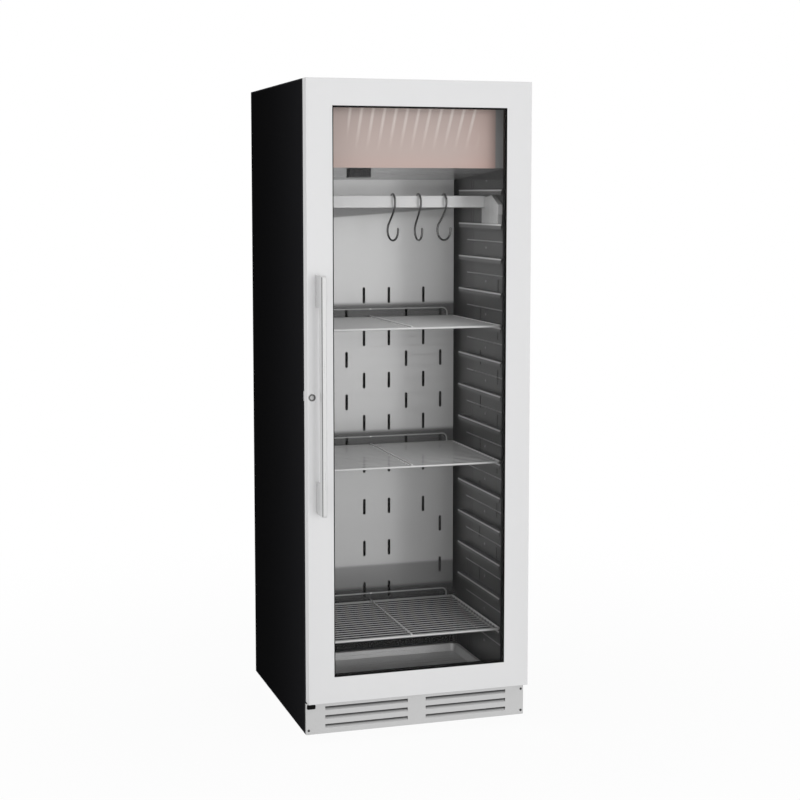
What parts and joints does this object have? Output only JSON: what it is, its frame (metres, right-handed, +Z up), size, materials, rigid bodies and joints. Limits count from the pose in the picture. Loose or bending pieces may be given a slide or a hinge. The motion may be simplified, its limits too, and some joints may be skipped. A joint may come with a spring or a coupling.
{
  "type": "dry aging cabinet with a glazed door",
  "caption": "Upright black cabinet that ages meat: steel-framed glass door on the right hinges, long bar handle, hanging bar with hooks, wire shelves, tray, louvred plinth.",
  "frame": {"origin": "on the floor, under the middle of the bounding box of the whole cabinet with its handle", "axes": "+X to the right of someone who faces the door, +Y to the back, +Z up"},
  "size_m": [0.595, 0.696, 1.684],
  "materials": {
    "black_paint": "fine satin black paint",
    "door_steel": "satin brushed along the height",
    "kick_steel": "satin brushed along the width",
    "bright_steel": "polished satin",
    "chrome": "polished",
    "satin_steel": "satin",
    "copper_steel": "brushed, copper tint",
    "zinc": "galvanised",
    "glass": "clear, polished",
    "black_plastic": "satin",
    "grey_plastic": "satin",
    "rubber": "matt",
    "foam": "foamed",
    "fin_metal": "mill finish",
    "copper": "drawn copper",
    "diffuser": "opal"
  },
  "bodies": {
    "cabinet": {"bar_bracket_left": "bright_steel", "bar_bracket_right": "bright_steel", "base_pan": "zinc", "compressor": "black_paint", "condensate_tray": "black_plastic", "condenser": "black_paint", "condenser_fan_frame": "zinc", "discharge_pipe": "copper", "drain_pipe": "grey_plastic", "drain_trough": "fin_metal", "duct_panel": "bright_steel", "evaporator": "fin_metal", "fan_bulkhead": "satin_steel", "fan_motor": "zinc", "filter_cassette": "black_plastic", "foam_insulation": "foam", "hanging_bar": "bright_steel", "hinge_hole_cap": "black_plastic", "hinge_lower": "zinc", "hinge_upper": "zinc", "housing_cover": "copper_steel", "housing_pan": "satin_steel", "inner_liner": "satin_steel", "kick_plate": "kick_steel", "kick_screw_left": "zinc", "kick_screw_right_high": "zinc", "kick_screw_right_low": "zinc", "led_bar": "diffuser", "lock_keeper": "zinc", "outer_case": "black_paint", "power_inlet": "black_plastic", "rack_left": "satin_steel", "rack_right": "satin_steel", "rear_grille": "zinc", "rear_panel": "zinc"},
    "door": {"door_frame": "door_steel", "door_core": "black_plastic", "outer_glass": "glass", "glass_spacer": "black_plastic", "inner_glass": "glass", "door_gasket": "rubber", "door_handle": "bright_steel", "lock_barrel": "chrome", "hinge_bush_lower": "black_plastic", "hinge_bush_upper": "black_plastic"},
    "lock_plug": {"lock_plug": "chrome"},
    "circulation_fan": {"circulation_fan": "black_plastic"},
    "condenser_fan": {"condenser_fan": "black_plastic"},
    "drip_tray": {"drip_tray": "bright_steel"},
    "meat_hook_1": {"meat_hook_1": "chrome"},
    "meat_hook_2": {"meat_hook_2": "chrome"},
    "meat_hook_3": {"meat_hook_3": "chrome"},
    "shelf_bottom": {"shelf_bottom": "chrome"},
    "shelf_middle": {"shelf_middle": "chrome"},
    "shelf_top": {"shelf_top": "chrome"},
    "foot_front_left": {"foot_front_left": "black_plastic"},
    "foot_front_right": {"foot_front_right": "black_plastic"},
    "foot_rear_left": {"foot_rear_left": "black_plastic"},
    "foot_rear_right": {"foot_rear_right": "black_plastic"}
  },
  "joints": [
    {"name": "door_swing", "type": "hinge", "parent": "cabinet", "child": "door", "pos_m": [0.2855, -0.27, 0.108], "axis": [0, 0, 1], "range_deg": [0, 110]},
    {"name": "lock_turn", "type": "hinge", "parent": "door", "child": "lock_plug", "pos_m": [-0.2855, -0.286, 0.894], "axis": [0, 1, 0], "range_deg": [0, 90]},
    {"name": "meat_hook_1_swing", "type": "hinge", "parent": "cabinet", "child": "meat_hook_1", "pos_m": [-0.014, -0.086, 1.3771], "axis": [1, 0, 0], "range_deg": [-25, 25]},
    {"name": "meat_hook_2_swing", "type": "hinge", "parent": "cabinet", "child": "meat_hook_2", "pos_m": [0.057, -0.086, 1.3771], "axis": [1, 0, 0], "range_deg": [-25, 25]},
    {"name": "meat_hook_3_swing", "type": "hinge", "parent": "cabinet", "child": "meat_hook_3", "pos_m": [0.128, -0.086, 1.3771], "axis": [1, 0, 0], "range_deg": [-25, 25]},
    {"name": "shelf_bottom_slide", "type": "slide", "parent": "cabinet", "child": "shelf_bottom", "axis": [0, -1, 0], "range_m": [0, 0.025]},
    {"name": "shelf_middle_slide", "type": "slide", "parent": "cabinet", "child": "shelf_middle", "axis": [0, -1, 0], "range_m": [0, 0.025]},
    {"name": "shelf_top_slide", "type": "slide", "parent": "cabinet", "child": "shelf_top", "axis": [0, -1, 0], "range_m": [0, 0.025]},
    {"name": "drip_tray_lift", "type": "slide", "parent": "cabinet", "child": "drip_tray", "axis": [0, 0, 1], "range_m": [0, 0.06]},
    {"name": "circulation_fan_spin", "type": "hinge", "parent": "cabinet", "child": "circulation_fan", "pos_m": [0, 0.1252, 1.558], "axis": [0, 1, 0], "continuous": true},
    {"name": "condenser_fan_spin", "type": "hinge", "parent": "cabinet", "child": "condenser_fan", "pos_m": [-0.1575, 0.27875, 0.104], "axis": [1, 0, 0], "continuous": true},
    {"name": "foot_front_left_turn", "type": "hinge", "parent": "cabinet", "child": "foot_front_left", "pos_m": [-0.2495, -0.156, 0], "axis": [0, 0, 1], "continuous": true},
    {"name": "foot_front_right_turn", "type": "hinge", "parent": "cabinet", "child": "foot_front_right", "pos_m": [0.2495, -0.156, 0], "axis": [0, 0, 1], "continuous": true},
    {"name": "foot_rear_left_turn", "type": "hinge", "parent": "cabinet", "child": "foot_rear_left", "pos_m": [-0.2495, 0.303, 0], "axis": [0, 0, 1], "continuous": true},
    {"name": "foot_rear_right_turn", "type": "hinge", "parent": "cabinet", "child": "foot_rear_right", "pos_m": [0.2495, 0.303, 0], "axis": [0, 0, 1], "continuous": true}
  ]
}
